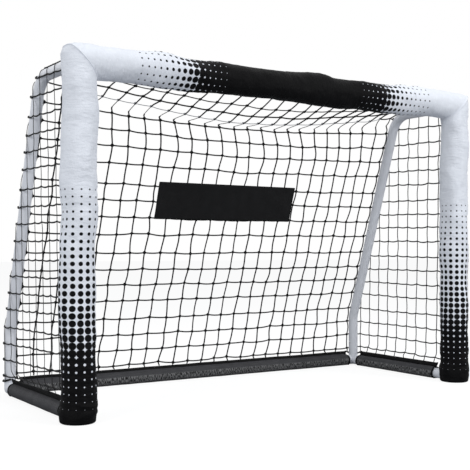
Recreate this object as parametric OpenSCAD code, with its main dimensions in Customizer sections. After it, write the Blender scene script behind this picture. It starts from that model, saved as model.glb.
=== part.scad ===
// Padded football goal for the garden: plug-together steel tubes, foam pads in fabric
// sleeves round the front frame, a knotted net, and fabric sleeves along the ground tubes.
// The goal stands on z = 0 with its mouth towards -Y, centred on x = 0 and y = 0.

/* [Goal] */
// Width over the pads of the two posts
goal_w = 1800; // [1500:10:2400]
// Height over the pad of the crossbar
goal_h = 1210; // [1000:10:1600]
// Depth from the front of the post sleeves to the back of the net
goal_d = 734; // [650:2:1000]
// Length of the flat roof part of a side frame, from the post's axis to the slope's line
roof_len = 350; // [290:5:420]
// Height at which the sloping side tube turns upright
knee_z = 230; // [200:5:300]

/* [Tubes] */
// Outer diameter of every steel tube
tube_d = 42; // [36:1:48]
// Wall of the tubes and of their plug ends
tube_wall = 1.5; // [1.2:0.1:2.5]
// Centreline radius of the bends in the side tubes
bend_r = 100; // [90:5:150]
// Length of a corner piece's arm, from its centre to the tube's end
hub_arm = 60; // [60:1:80]
// Length of a plug end
plug_len = 50; // [46:1:70]
// Gap all round between a plug end and the tube it fits in
plug_fit = 0.25; // [0.15:0.05:0.4]
// Height of the joint in the middle of a post
post_joint_z = 600; // [500:10:700]
// Height of the joint in the sloping part of a side tube
side_joint_z = 620; // [500:10:750]

/* [Snap buttons] */
// Diameter of a button
button_d = 8; // [6:0.5:9]
// How far a button stands out of the tube
button_proud = 3.5; // [2.5:0.5:4.5]
// Gap all round between a button and its hole
button_fit = 0.1; // [0.05:0.05:0.2]
// Distance of a button from the shoulder of its plug end
button_inset = 22; // [18:1:24]
// Thickness of the spring strip
clip_t = 0.8; // [0.5:0.1:1.2]

/* [Pads and sleeves] */
// Outer diameter of the padded posts and crossbar
pad_d = 113; // [100:1:130]
// Thickness of the sleeve fabric
fabric_t = 1.5; // [1:0.1:2]
// Clearance between a sleeve or pad and what it is pulled over
slack = 0.3; // [0.2:0.05:0.4]
// How far a post sleeve bulges near the floor
foot_bulge = 3; // [1:0.5:5]
// Height of the bulge's widest part
bulge_z = 38; // [30:1:50]
// Radius of the rounded bottom edge of a post sleeve
foot_edge_r = 12; // [8:1:16]
// Height of the ground sleeves' upright flap
flap_z = 66; // [60:1:80]
// Thickness of that flap, two layers of fabric and the hem
flap_t = 3; // [2:0.5:4]
// Distance from a rear corner's centre to the end of the sleeves beside it
sleeve_rear_gap = 48; // [24:1:56]
// Distance from a post's axis to the front end of a side ground sleeve
sleeve_front_gap = 101; // [80:1:130]

/* [Net] */
// Thickness of the net cord
cord_d = 4; // [2:0.1:5]
// Width of a mesh in the back and roof
mesh_w = 68; // [50:1:90]
// Height of a mesh in the back
mesh_h = 66; // [50:1:90]
// Size of a mesh in the side nets
side_mesh = 62.5; // [50:0.5:90]
// How far the back net hangs into the goal
back_sag = 46; // [10:1:60]
// How far the roof net hangs below the side frames
roof_sag = 42; // [10:1:60]
// Thickness of the light cord laced across the roof
ridge_d = 4; // [3:0.5:6]

/* [Banner] */
// Width of the cloth panel on the back net
banner_w = 652; // [300:4:900]
// Height of the panel
banner_h = 142; // [80:2:300]
// Height of the panel's lower edge
banner_z = 670; // [450:2:750]
// Distance of the panel's middle from the goal's middle
banner_x = -4; // [-100:2:100]
// Thickness of the panel
banner_t = 1.5; // [1:0.5:3]

/* [Hidden] */
$fn = 64;
eps = 0.01;
tube_r = tube_d / 2;
bore_r = tube_r - tube_wall;
plug_r = bore_r - plug_fit;
plug_bore_r = plug_r - tube_wall;
pad_r = pad_d / 2;
foam_r = pad_r - fabric_t - slack;
hug_r = tube_r + slack;
loop_r = hug_r + fabric_t;
floor_z = loop_r;                      // height of the ground tubes' axes
net_in = tube_r + slack;               // from a tube's axis to the inner face of the net
net_out = net_in + cord_d;
post_x = goal_w / 2 - pad_r;
front_y = -goal_d / 2 + pad_r + foot_bulge;
rear_y = goal_d / 2 - net_out;
bar_z = goal_h - pad_r;
roof_y = front_y + roof_len;
mitre_gap = slack / 2;
mitre_block_size = 4 * pad_d;
bulge_run = 30;                        // how far above and below its widest part the bulge fades

// Side frame, drawn in the YZ plane: a flat roof part, a bend, a slope, a knee and an upright
lean = atan((rear_y - roof_y) / (bar_z - knee_z));
slope = [sin(lean), -cos(lean)];
bend_y = roof_y - bend_r * tan((90 - lean) / 2);
bend_centre = [bend_y, bar_z - bend_r];
bend_end = bend_centre + bend_r * [cos(lean), sin(lean)];
knee_run = bend_r * tan(lean / 2);
knee_centre = [rear_y - bend_r, knee_z - knee_run];
knee_start = [rear_y, knee_z] - knee_run * slope;
side_joint = [roof_y + tan(lean) * (bar_z - side_joint_z), side_joint_z];
bend_thin = 0.1;
bend_lap = 2;
collar_run = 2.5;                       // how far the plug's collar is let into the tube's wall

// Snap buttons: how far in each one travels, and the hole that guides it
button_r = button_d / 2;
button_tip = tube_r + button_proud;
dome_start = tube_r + 1;                // the button is a plain pin up to here
dome_h = button_tip - dome_start;
dome_r = (button_r ^ 2 + dome_h ^ 2) / (2 * dome_h) + 0.2;
button_travel = button_proud + tube_wall + plug_fit;
hole_r = button_r + button_fit;
head_r = button_r + 2;
head_top = sqrt(plug_bore_r ^ 2 - head_r ^ 2) - slack;
head_t = 1.2;
clip_w = 8;
clip_run = 22;
clip_base = -sqrt((plug_bore_r - 0.1) ^ 2 - (clip_w / 2) ^ 2);
clip_low = clip_base + 10;              // top of the far leg's turned-up end
clip_high = clip_low + button_travel + 2;
relief_r = button_r + 3;
relief_top = button_tip + 2;

// Net sheets: a few stations across and down between which the cloth of meshes is flat
net_end_x = post_x + tube_r - slack / 2;
net_free_x = post_x - tube_r - 4;       // the net leaves the side frame here
net_flat_x = net_free_x * 2 / 3;        // the sag is even this far from the middle
banner_x0 = banner_x - banner_w / 2;
banner_x1 = banner_x + banner_w / 2;
banner_top = banner_z + banner_h;
net_mid = (net_in + net_out) / 2;
arc_step = (90 - lean) / 4;
arc_out = (bend_r + net_mid + cord_d / 2) / cos(arc_step / 2) - cord_d / 2;
corner_y = bend_y + arc_out * cos(lean);
corner_z = bar_z - bend_r + arc_out * sin(lean);
knee_net_z = knee_z + net_mid * (1 / cos(lean) - 1) / tan(lean);
hem_z = flap_z + 0.2;                   // the net's lower edge, just above the flaps
roof_front_y = front_y + pad_r + cord_d / 2;
roof_front_z = bar_z + 8;               // where the roof net meets the crossbar's pad
X_STATIONS = [-net_end_x, -net_free_x, -net_flat_x, net_flat_x, net_free_x, net_end_x];
Z_STATIONS = [hem_z, knee_net_z, (knee_net_z + banner_z) / 2, banner_z, banner_top,
              (banner_top + corner_z) / 2, corner_z];
Y_STATIONS = [roof_front_y, (roof_front_y + bend_y) / 2, bend_y,
              for (k = [1:4]) bend_y + arc_out * sin(k * arc_step)];
ridge_k = 4;                            // the roof station that carries the ridge cord

// Where each plug joint has its button: point on the tube's axis, way to the plug's tip,
// and the way the button points. These are for the right-hand side.
FOOT_JOINT = [[post_x, front_y, floor_z + hub_arm + button_inset], [0, 0, 1], [0, 1, 0]];
POST_JOINT = [[post_x, front_y, post_joint_z - button_inset], [0, 0, -1], [0, 1, 0]];
TOP_JOINT = [[post_x, front_y, bar_z - hub_arm - button_inset], [0, 0, -1], [0, 1, 0]];
BAR_JOINT = [[post_x - hub_arm - button_inset, front_y, bar_z], [-1, 0, 0], [0, 1, 0]];
MID_JOINT = [[-button_inset, front_y, bar_z], [-1, 0, 0], [0, 1, 0]];
ROOF_JOINT = [[post_x, front_y + hub_arm + button_inset, bar_z], [0, 1, 0], [-1, 0, 0]];
SLOPE_JOINT = [[post_x, side_joint.x - slope.x * button_inset, side_joint.y - slope.y * button_inset],
               [0, -slope.x, -slope.y], [-1, 0, 0]];
REAR_JOINT = [[post_x, rear_y, floor_z + hub_arm + button_inset], [0, 0, 1], [-1, 0, 0]];

// The three hubs of a side: their centres and the ways their arms point
TOP_HUB = [post_x, front_y, bar_z];
FOOT_HUB = [post_x, front_y, floor_z];
REAR_HUB = [post_x, rear_y, floor_z];

// ---- Helpers -------------------------------------------------------------------------

// Everything is made for the right-hand side and mirrored for the left
module on_side(s) {
    if (s < 0) mirror([1, 0, 0]) children();
    else children();
}

// A round bar from p to q
module rod(p, q, r) {
    v = q - p;
    translate(p) rotate([0, acos(v.z / norm(v)), atan2(v.y, v.x)]) cylinder(h = norm(v), r = r);
}

// Puts a drawing of the YZ plane at x: drawing x is +Y, drawing y is +Z, and height is +X
module in_side_plane(x) translate([x, 0, 0]) rotate([90, 0, 90]) children();

// Puts children at a plug joint: local x runs to the plug's tip, local z is the button's way
module at_joint(joint) {
    p = joint[0];
    along = joint[1];
    out = joint[2];
    across = cross(out, along);
    multmatrix([[along.x, across.x, out.x, p.x],
                [along.y, across.y, out.y, p.y],
                [along.z, across.z, out.z, p.z]]) children();
}

module button_hole(joint) at_joint(joint) cylinder(h = button_tip, r = hole_r);

// Hollow plug end that starts at the shoulder p and points along way
module plug(p, way) rod(p - way, p + way * plug_len, plug_r);
module plug_bore(p, way) rod(p - way * 2, p + way * (plug_len + 1), plug_bore_r);

// ---- Steel frame ---------------------------------------------------------------------

// Corner piece: a ball with hollow arms, each ending in a plug
module corner_piece(centre, arms, joints) color("white") difference() {
    union() {
        translate(centre) sphere(r = tube_r);
        for (arm = arms) {
            rod(centre, centre + arm * hub_arm, tube_r);
            plug(centre + arm * hub_arm, arm);
        }
    }
    for (arm = arms) rod(centre, centre + arm * (hub_arm + plug_len + 1), plug_bore_r);
    for (j = joints) button_hole(j);
}

module top_corner() corner_piece(TOP_HUB, [[-1, 0, 0], [0, 0, -1], [0, 1, 0]],
                                 [BAR_JOINT, TOP_JOINT, ROOF_JOINT]);
module foot_corner() corner_piece(FOOT_HUB, [[0, 0, 1], [0, 1, 0]], [FOOT_JOINT]);
module rear_corner() corner_piece(REAR_HUB, [[0, 0, 1], [0, -1, 0], [-1, 0, 0]], [REAR_JOINT]);

// Straight tube from p to q, with a plug beyond p if one is asked for
module straight_tube(p, q, joints, plug_at_p = false) {
    way = (p - q) / norm(p - q);
    color("white") difference() {
        union() {
            rod(p, q, tube_r);
            if (plug_at_p) plug(p, way);
        }
        if (plug_at_p) {
            rod(p - way * 2, q - way, bore_r);
            plug_bore(p, way);
        } else rod(p + way, q - way, bore_r);
        for (j = joints) button_hole(j);
    }
}

module post_lower_tube() straight_tube([post_x, front_y, post_joint_z], FOOT_HUB + [0, 0, hub_arm],
                                       [FOOT_JOINT, POST_JOINT]);
module post_upper_tube() straight_tube([post_x, front_y, post_joint_z], TOP_HUB - [0, 0, hub_arm],
                                       [TOP_JOINT, POST_JOINT], plug_at_p = true);
module crossbar_left_tube() straight_tube([0, front_y, bar_z], [hub_arm - post_x, front_y, bar_z],
                                          [MID_JOINT, mirrored(BAR_JOINT)]);
module crossbar_right_tube() straight_tube([0, front_y, bar_z], [post_x - hub_arm, front_y, bar_z],
                                           [MID_JOINT, BAR_JOINT], plug_at_p = true);
module ground_tube() straight_tube(FOOT_HUB + [0, hub_arm, 0], REAR_HUB - [0, hub_arm, 0], []);
module rear_ground_left_tube() straight_tube([0, rear_y, floor_z], [hub_arm - post_x, rear_y, floor_z], []);
module rear_ground_right_tube() straight_tube([0, rear_y, floor_z], [post_x - hub_arm, rear_y, floor_z],
                                              [], plug_at_p = true);

function mirrored(joint) = [for (v = joint) [-v.x, v.y, v.z]];

// A hollow stretch of the side frame in its own plane, which laps a little over the bend at q
module side_run(p, q) {
    way = (q - p) / norm(q - p);
    lap = q + way * bend_lap;
    difference() {
        rod([p.x, p.y, 0], [lap.x, lap.y, 0], tube_r);
        rod([p.x - way.x, p.y - way.y, 0], [lap.x + way.x, lap.y + way.y, 0], bore_r);
    }
}

// A hollow bend, whose wall is drawn a hair thinner than the straight stretches
module side_bend(centre, from, to) translate([centre.x, centre.y, 0])
    rotate([0, 0, from]) rotate_extrude(angle = to - from) translate([bend_r, 0]) difference() {
        circle(r = tube_r - bend_thin);
        circle(r = bore_r + bend_thin);
    }

module side_upper_tube() color("white") difference() {
    in_side_plane(post_x) {
        side_run([front_y + hub_arm, bar_z], [bend_y, bar_z]);
        side_bend(bend_centre, lean, 90);
        side_run(side_joint, bend_end);
    }
    button_hole(ROOF_JOINT);
    button_hole(SLOPE_JOINT);
}

module side_lower_tube() {
    shoulder = [post_x, side_joint.x, side_joint.y];
    up = [0, -slope.x, -slope.y];
    color("white") difference() {
        union() {
            in_side_plane(post_x) {
                side_run(side_joint, knee_start);
                side_bend(knee_centre, 0, lean);
                side_run([rear_y, floor_z + hub_arm], [rear_y, knee_z - knee_run]);
            }
            difference() {
                union() {
                    plug(shoulder, up);
                    rod(shoulder - up * collar_run, shoulder - up / 2, bore_r + tube_wall / 2);
                }
                rod(shoulder - up * (collar_run + 1), shoulder + up * (plug_len + 1), plug_bore_r);
            }
        }
        button_hole(SLOPE_JOINT);
        button_hole(REAR_JOINT);
    }
}

// ---- Snap buttons --------------------------------------------------------------------

// A button with its domed tip, its retaining head and the sprung strip it rides on
module snap_button(joint) color("silver") at_joint(joint) {
    translate([0, 0, head_top - eps]) cylinder(h = dome_start - head_top, r = button_r);
    translate([0, 0, dome_start - eps]) intersection() {
        cylinder(h = dome_h, r = button_r);
        translate([0, 0, dome_h - dome_r]) sphere(r = dome_r);
    }
    translate([0, 0, head_top - head_t]) cylinder(h = head_t, r = head_r);
    translate([0, clip_w / 2, 0]) rotate([90, 0, 0]) linear_extrude(clip_w) polygon([
        [-button_r, head_top - head_t - clip_t], [-button_r, head_top - head_t + eps],
        [button_r, head_top - head_t + eps],
        [clip_run, clip_high + clip_t], [clip_run, clip_high],
        [button_r, head_top - head_t - clip_t]]);
}

// The other leg of each spring, which lies on the far wall of the plug and turns up at its end
module clip_leg(joint) color("silver") at_joint(joint)
    translate([0, clip_w / 2, 0]) rotate([90, 0, 0]) linear_extrude(clip_w) polygon([
        [-button_r, clip_base], [clip_run, clip_base], [clip_run + clip_t, clip_base + clip_t],
        [clip_run + clip_t, clip_low], [clip_run, clip_low], [clip_run, clip_base + clip_t],
        [-button_r, clip_base + clip_t]]);

module button_clips() {
    for (s = [-1, 1]) on_side(s)
        for (j = [FOOT_JOINT, POST_JOINT, TOP_JOINT, BAR_JOINT, ROOF_JOINT, SLOPE_JOINT, REAR_JOINT])
            clip_leg(j);
    clip_leg(MID_JOINT);
}

// ---- Foam pads and their sleeves -----------------------------------------------------

// What the mitre cuts away: all above its plane from a post, all below it from the crossbar
module above_mitre() mitre_block(-mitre_gap);
module below_mitre() mitre_block(mitre_gap - mitre_block_size);
module mitre_block(start) translate(TOP_HUB) rotate([0, -45, 0])
    translate([-mitre_block_size / 2, -mitre_block_size / 2, start]) cube(mitre_block_size);

// Room for the corner piece and the side tube inside a pad
module hub_room(r) {
    translate(TOP_HUB) sphere(r = r);
    rod(TOP_HUB, TOP_HUB + [0, pad_d, 0], r);
    rod(TOP_HUB, TOP_HUB - [pad_d, 0, 0], r);
    rod(TOP_HUB, TOP_HUB - [0, 0, pad_d], r);
}

module button_room(joint) at_joint(joint) cylinder(h = relief_top, r = relief_r);

// The arch at the back of a post's foot where the ground tube comes out
module ground_tube_arch() {
    rod(FOOT_HUB, FOOT_HUB + [0, pad_d, 0], hug_r);
    translate([post_x - hug_r, front_y, -1]) cube([2 * hug_r, pad_d, floor_z + 1]);
}

module post_foam() color("lightgrey") difference() {
    translate([post_x, front_y, 0]) sleeve_shell(fabric_t + slack, bar_z + pad_d);
    above_mitre();
    translate([post_x, front_y, 0]) cylinder(h = bar_z, r = hug_r);
    hub_room(hug_r);
    ground_tube_arch();
    for (j = [FOOT_JOINT, POST_JOINT, TOP_JOINT]) button_room(j);
}

module crossbar_foam() color("lightgrey") difference() {
    rod([-post_x - pad_d, front_y, bar_z], [post_x + pad_d, front_y, bar_z], foam_r);
    rod([-post_x, front_y, bar_z], [post_x, front_y, bar_z], hug_r);
    for (s = [-1, 1]) on_side(s) {
        below_mitre();
        hub_room(hug_r);
        button_room(BAR_JOINT);
    }
    button_room(MID_JOINT);
}

// Outline of a post sleeve: a rounded bottom edge, a bulge, then straight up
function bulge(z) = foot_bulge * exp(-pow((z - bulge_z) / bulge_run, 2));
function sleeve_outline(inset) = concat(
    [for (a = [-90:15:0]) [pad_r + bulge(foot_edge_r) - foot_edge_r + (foot_edge_r - inset) * cos(a),
                           foot_edge_r + (foot_edge_r - inset) * sin(a)]],
    [for (k = [2:9]) let (z = k * foot_edge_r) [pad_r + bulge(z) - inset, z]]);

module sleeve_shell(inset, top) rotate_extrude()
    polygon(concat([[0, inset]], sleeve_outline(inset), [[pad_r - inset, top], [0, top]]));

module post_sleeve() color("whitesmoke") difference() {
    translate([post_x, front_y, 0]) sleeve_shell(0, bar_z + pad_d);
    translate([post_x, front_y, 0]) sleeve_shell(fabric_t, bar_z + pad_d + 1);
    above_mitre();
    hub_room(hug_r);
    ground_tube_arch();
}

module crossbar_sleeve() color("black") difference() {
    rod([-post_x - pad_d, front_y, bar_z], [post_x + pad_d, front_y, bar_z], pad_r);
    rod([-post_x - pad_d - 1, front_y, bar_z], [post_x + pad_d + 1, front_y, bar_z], pad_r - fabric_t);
    for (s = [-1, 1]) on_side(s) {
        below_mitre();
        hub_room(hug_r);
    }
}

// ---- Ground sleeves ------------------------------------------------------------------

// A loop round the tube with a flap that leans out to the foot of the net, along local z
module cloth_sleeve(length) color("dimgray") difference() {
    top = flap_z - floor_z;
    union() {
        cylinder(h = length, r = loop_r);
        linear_extrude(length) polygon([
            [0, hug_r], [0, loop_r + flap_t], [net_in - flap_t, top], [net_out, top],
            [net_out, top - flap_t], [flap_t, hug_r]]);
    }
    translate([0, 0, -1]) cylinder(h = length + 2, r = hug_r);
}

module ground_sleeve() {
    y0 = front_y + sleeve_front_gap;
    length = rear_y - sleeve_rear_gap - y0;
    translate([post_x, y0, floor_z]) rotate([90, 0, 0]) translate([0, 0, -length]) cloth_sleeve(length);
}

module rear_ground_sleeve() {
    half = post_x - sleeve_rear_gap;
    translate([-half, rear_y, floor_z]) rotate([90, 0, 90]) cloth_sleeve(2 * half);
}

// ---- Net -----------------------------------------------------------------------------

// A lattice of square holes between two corners, with whole meshes and a border all round
function cell_edges(a, b, pitch) =
    let (n = max(1, round((b - a) / pitch)), step = (b - a - cord_d) / n)
    [for (k = [0:n - 1]) [a + k * step + cord_d, a + (k + 1) * step]];

module cells(x_edges, y_edges) {
    for (x = x_edges, y = y_edges) translate([x[0], y[0]]) square([x[1] - x[0], y[1] - y[0]]);
}

// Side nets hang flat against the outside of the side frame
function side_outline(off) =
    let (front = front_y + pad_r + net_out - off, r = bend_r + off)
    concat([[front, hem_z + net_out - off], [front, bar_z + off]],
           [for (k = [0:8]) bend_centre + r * [sin(k * (90 - lean) / 8), cos(k * (90 - lean) / 8)]],
           [for (k = [2:-1:0]) knee_centre + r * [cos(k * lean / 2), sin(k * lean / 2)]],
           [[rear_y + off, hem_z + net_out - off]]);

module side_net() {
    low = [front_y + pad_r, hem_z];
    high = [rear_y + net_out, bar_z + net_out];
    color("black") in_side_plane(post_x + net_in) linear_extrude(cord_d) difference() {
        polygon(side_outline(net_out));
        intersection() {
            polygon(side_outline(net_out - cord_d));
            cells(cell_edges(low.x, high.x, side_mesh), cell_edges(low.y, high.y, side_mesh));
        }
    }
}

// How much of the sag a point across the goal has: none at the tubes, all of it in the middle
function slump(x) = max(0, min(1, (net_free_x - abs(x)) / (net_free_x - net_flat_x)));

// Back net: pulled straight down the rear of the side frames, hanging into the goal between them
function back_edge_y(z) = min(rear_y + net_mid,
                              roof_y + tan(lean) * (bar_z - z) + net_mid / cos(lean));
function back_middle_y(z) =
    let (t = (z - hem_z) / (corner_z - hem_z))
    back_edge_y(hem_z) + t * (back_edge_y(corner_z) - back_edge_y(hem_z)) - back_sag * sin(180 * t ^ 2);
function back_y(x, z) = back_edge_y(z) + slump(x) * (back_middle_y(z) - back_edge_y(z));

// Roof net: over the tops of the side frames, dipping between them
function roof_edge_z(y) = y <= bend_y ? bar_z + net_mid + (arc_out - bend_r - net_mid)
    : bar_z - bend_r + sqrt(max(0, arc_out ^ 2 - (y - bend_y) ^ 2));
function roof_middle_z(y) =
    let (t = (y - roof_front_y) / (corner_y - roof_front_y))
    roof_front_z + t * (corner_z - roof_front_z) - roof_sag * sin(180 * t);
function roof_z(x, y) = roof_edge_z(y) + slump(x) * (roof_middle_z(y) - roof_edge_z(y));

// A thin sheet over a grid of points, as thick as the cord
module sheet(grid, thick) {
    rows = len(grid);
    cols = len(grid[0]);
    count = rows * cols;
    points = [for (side = [-1, 1]) for (row = grid) for (p = row) p + side * thick / 2];
    function id(r, c, side) = side * count + r * cols + c;
    near = [for (r = [0:rows - 2]) for (c = [0:cols - 2]) each [
        [id(r, c, 0), id(r + 1, c, 0), id(r + 1, c + 1, 0)],
        [id(r, c, 0), id(r + 1, c + 1, 0), id(r, c + 1, 0)]]];
    far = [for (r = [0:rows - 2]) for (c = [0:cols - 2]) each [
        [id(r, c, 1), id(r + 1, c + 1, 1), id(r + 1, c, 1)],
        [id(r, c, 1), id(r, c + 1, 1), id(r + 1, c + 1, 1)]]];
    ends = [for (c = [0:cols - 2]) each [
        [id(0, c, 0), id(0, c + 1, 0), id(0, c + 1, 1), id(0, c, 1)],
        [id(rows - 1, c + 1, 0), id(rows - 1, c, 0), id(rows - 1, c, 1), id(rows - 1, c + 1, 1)]]];
    sides = [for (r = [0:rows - 2]) each [
        [id(r + 1, 0, 0), id(r, 0, 0), id(r, 0, 1), id(r + 1, 0, 1)],
        [id(r, cols - 1, 0), id(r + 1, cols - 1, 0), id(r + 1, cols - 1, 1), id(r, cols - 1, 1)]]];
    polyhedron(points, concat(near, far, ends, sides));
}

// Lattice with a border, drawn in a plane whose x is the goal's width
module lattice(low, high, pitch_x, pitch_y) {
    reach = pitch_x * floor(high.x / pitch_x) + cord_d / 2;
    middle = cell_edges(-reach, reach, pitch_x);
    x_edges = concat([[low.x + cord_d, -reach]], middle, [[reach, high.x - cord_d]]);
    difference() {
        translate(low - [1, 1]) square(high - low + [2, 2]);
        cells(x_edges, cell_edges(low.y, high.y, pitch_y));
    }
}

module back_net() color("black") intersection() {
    sheet([for (z = Z_STATIONS) [for (x = X_STATIONS) [x, back_y(x, z), z]]], [0, cord_d, 0]);
    translate([0, goal_d, 0]) rotate([90, 0, 0]) linear_extrude(2 * goal_d)
        lattice([-net_end_x, hem_z], [net_end_x, corner_z], mesh_w, mesh_h);
}

module roof_net() color("black") intersection() {
    sheet([for (y = Y_STATIONS) [for (x = X_STATIONS) [x, y, roof_z(x, y)]]], [0, 0, -cord_d]);
    linear_extrude(2 * goal_h)
        lattice([-net_end_x, roof_front_y], [net_end_x, corner_y - cord_d], mesh_w, mesh_w);
}

// Light cord laced across the roof, lying on the net
module ridge_cord() {
    y = Y_STATIONS[ridge_k];
    r = ridge_d / 2;
    sides = 8;
    rings = len(X_STATIONS);
    points = [for (x = X_STATIONS) for (k = [0:sides - 1])
        [x, y + r * sin(360 * k / sides), roof_z(x, y) + cord_d / 2 + r + slack + r * cos(360 * k / sides)]];
    walls = [for (i = [0:rings - 2]) for (k = [0:sides - 1])
        let (a = i * sides + k, b = i * sides + (k + 1) % sides)
        each [[a, a + sides, b + sides], [a, b + sides, b]]];
    caps = [[for (k = [0:sides - 1]) k], [for (k = [sides - 1:-1:0]) (rings - 1) * sides + k]];
    color("gainsboro") polyhedron(points, concat(walls, caps));
}

// Cloth panel laced to the inside of the back net
module banner() {
    off = [0, -(cord_d + banner_t) / 2 - slack / 2, 0];
    color("black") sheet([for (z = [banner_z, banner_top])
        [for (x = [banner_x0, banner_x1]) [x, back_y(x, z), z] + off]], [0, banner_t, 0]);
}

// ---- Nodes ---------------------------------------------------------------------------

on_side(-1) top_corner();  // left_top_corner
top_corner();  // right_top_corner
on_side(-1) foot_corner();  // left_foot_corner
foot_corner();  // right_foot_corner
on_side(-1) rear_corner();  // left_rear_corner
rear_corner();  // right_rear_corner
on_side(-1) post_lower_tube();  // left_post_lower_tube
post_lower_tube();  // right_post_lower_tube
on_side(-1) post_upper_tube();  // left_post_upper_tube
post_upper_tube();  // right_post_upper_tube
crossbar_left_tube();
crossbar_right_tube();
on_side(-1) side_upper_tube();  // left_side_upper_tube
side_upper_tube();  // right_side_upper_tube
on_side(-1) side_lower_tube();  // left_side_lower_tube
side_lower_tube();  // right_side_lower_tube
on_side(-1) ground_tube();  // left_ground_tube
ground_tube();  // right_ground_tube
rear_ground_left_tube();
rear_ground_right_tube();
on_side(-1) post_foam();  // left_post_foam
post_foam();  // right_post_foam
crossbar_foam();
on_side(-1) post_sleeve();  // left_post_sleeve
post_sleeve();  // right_post_sleeve
crossbar_sleeve();
on_side(-1) ground_sleeve();  // left_ground_sleeve
ground_sleeve();  // right_ground_sleeve
rear_ground_sleeve();
on_side(-1) side_net();  // left_side_net
side_net();  // right_side_net
back_net();
roof_net();
ridge_cord();
banner();
button_clips();
on_side(-1) snap_button(FOOT_JOINT);  // left_foot_button
snap_button(FOOT_JOINT);  // right_foot_button
on_side(-1) snap_button(POST_JOINT);  // left_post_button
snap_button(POST_JOINT);  // right_post_button
on_side(-1) snap_button(TOP_JOINT);  // left_top_button
snap_button(TOP_JOINT);  // right_top_button
on_side(-1) snap_button(BAR_JOINT);  // crossbar_left_button
snap_button(BAR_JOINT);  // crossbar_right_button
snap_button(MID_JOINT);  // crossbar_mid_button
on_side(-1) snap_button(ROOF_JOINT);  // left_roof_button
snap_button(ROOF_JOINT);  // right_roof_button
on_side(-1) snap_button(SLOPE_JOINT);  // left_slope_button
snap_button(SLOPE_JOINT);  // right_slope_button
on_side(-1) snap_button(REAR_JOINT);  // left_rear_button
snap_button(REAR_JOINT);  // right_rear_button
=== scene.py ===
"""Looks of a padded football goal: printed sleeves, knotted nets and cloth round its steel tubes."""

import itertools
from math import atan, atan2, cos, hypot, pi, radians, sin, sqrt, tan

import bpy
import numpy as np
from mathutils import Matrix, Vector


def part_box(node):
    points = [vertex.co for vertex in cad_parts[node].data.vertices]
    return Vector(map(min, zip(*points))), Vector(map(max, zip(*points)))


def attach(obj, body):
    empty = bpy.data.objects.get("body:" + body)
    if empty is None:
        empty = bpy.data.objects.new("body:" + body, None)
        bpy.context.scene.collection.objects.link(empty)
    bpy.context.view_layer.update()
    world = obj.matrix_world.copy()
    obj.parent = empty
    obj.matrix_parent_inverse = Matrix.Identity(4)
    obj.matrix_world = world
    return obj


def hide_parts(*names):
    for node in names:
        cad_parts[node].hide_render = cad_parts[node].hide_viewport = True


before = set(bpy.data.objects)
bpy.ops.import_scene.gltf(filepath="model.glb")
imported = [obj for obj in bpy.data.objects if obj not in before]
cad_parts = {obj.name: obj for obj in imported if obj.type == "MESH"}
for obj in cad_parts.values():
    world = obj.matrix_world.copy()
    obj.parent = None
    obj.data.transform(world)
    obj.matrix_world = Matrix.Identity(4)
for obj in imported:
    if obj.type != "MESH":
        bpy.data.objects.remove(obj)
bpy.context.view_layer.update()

# ---- Sizes taken from the frame, in metres ----

post_low, post_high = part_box("right_post_sleeve")
bar_low, bar_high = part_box("crossbar_sleeve")
tube_low, tube_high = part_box("right_side_lower_tube")
corner_low, corner_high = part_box("right_rear_corner")

PAD_R = (bar_high.z - bar_low.z) / 2
BAR_Z = (bar_high.z + bar_low.z) / 2
POST_X = (post_low.x + post_high.x) / 2
FRONT_Y = post_low.y + (post_high.x - post_low.x) / 2
TUBE_R = (tube_high.x - tube_low.x) / 2
REAR_Y = corner_high.y - TUBE_R
FLOOR_Z = corner_low.z + TUBE_R
FLAP_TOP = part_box("right_ground_sleeve")[1].z
ROOF_RUN = 0.350  # from the post's axis to where roof and slope would meet
KNEE_Z = 0.230  # where slope and upright would meet
BEND_R = 0.100  # of the side tube's axis, in both bends

SIDES = {-1: "left", 1: "right"}
BACKWARDS, UPWARDS = np.array([0, 1.0, 0]), np.array([0, 0, 1.0])


# ---- Helpers for shapes ----


class Noise:
    """Smooth seeded noise from -1 to 1."""

    size = 32

    def __init__(self, seed):
        self.table = np.random.default_rng(seed).uniform(-1, 1, (self.size,) * 3)

    def __call__(self, x, y=0.0, z=0.0):
        point = np.stack(np.broadcast_arrays(x, y, z)).astype(float)
        cell = np.floor(point).astype(int)
        part = point - cell
        part = part * part * (3 - 2 * part)
        total = 0
        for corner in itertools.product((0, 1), repeat=3):
            index = tuple((cell[a] + corner[a]) % self.size for a in range(3))
            share = [part[a] if corner[a] else 1 - part[a] for a in range(3)]
            total = total + share[0] * share[1] * share[2] * self.table[index]
        return total


def new_object(name, data):
    made = bpy.data.objects.new(name, data)
    bpy.context.scene.collection.objects.link(made)
    return made


def mesh_object(name, points, faces, uvs=None, uv_name="print"):
    """An object from points, faces and, if given, one UV pair for each face corner."""
    mesh = bpy.data.meshes.new(name)
    mesh.from_pydata([tuple(p) for p in points], [], [tuple(f) for f in faces])
    if uvs is not None:
        layer = mesh.uv_layers.new(name=uv_name)
        layer.data.foreach_set("uv", np.asarray(uvs, np.float32).ravel())
    mesh.shade_smooth()
    mesh.update()
    return new_object(name, mesh)


def grid_faces(rows, cols, closed=False, start=0):
    """Quads over a grid of points, and the places of their corners in it."""
    across = cols if closed else cols - 1
    r, c = np.meshgrid(np.arange(rows - 1), np.arange(across), indexing="ij")
    corners = np.array([[r, c], [r, c + 1], [r + 1, c + 1], [r + 1, c]])
    places = corners.transpose(2, 3, 0, 1).reshape(-1, 4, 2)
    faces = start + places[:, :, 0] * cols + places[:, :, 1] % cols
    return faces, places


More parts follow.
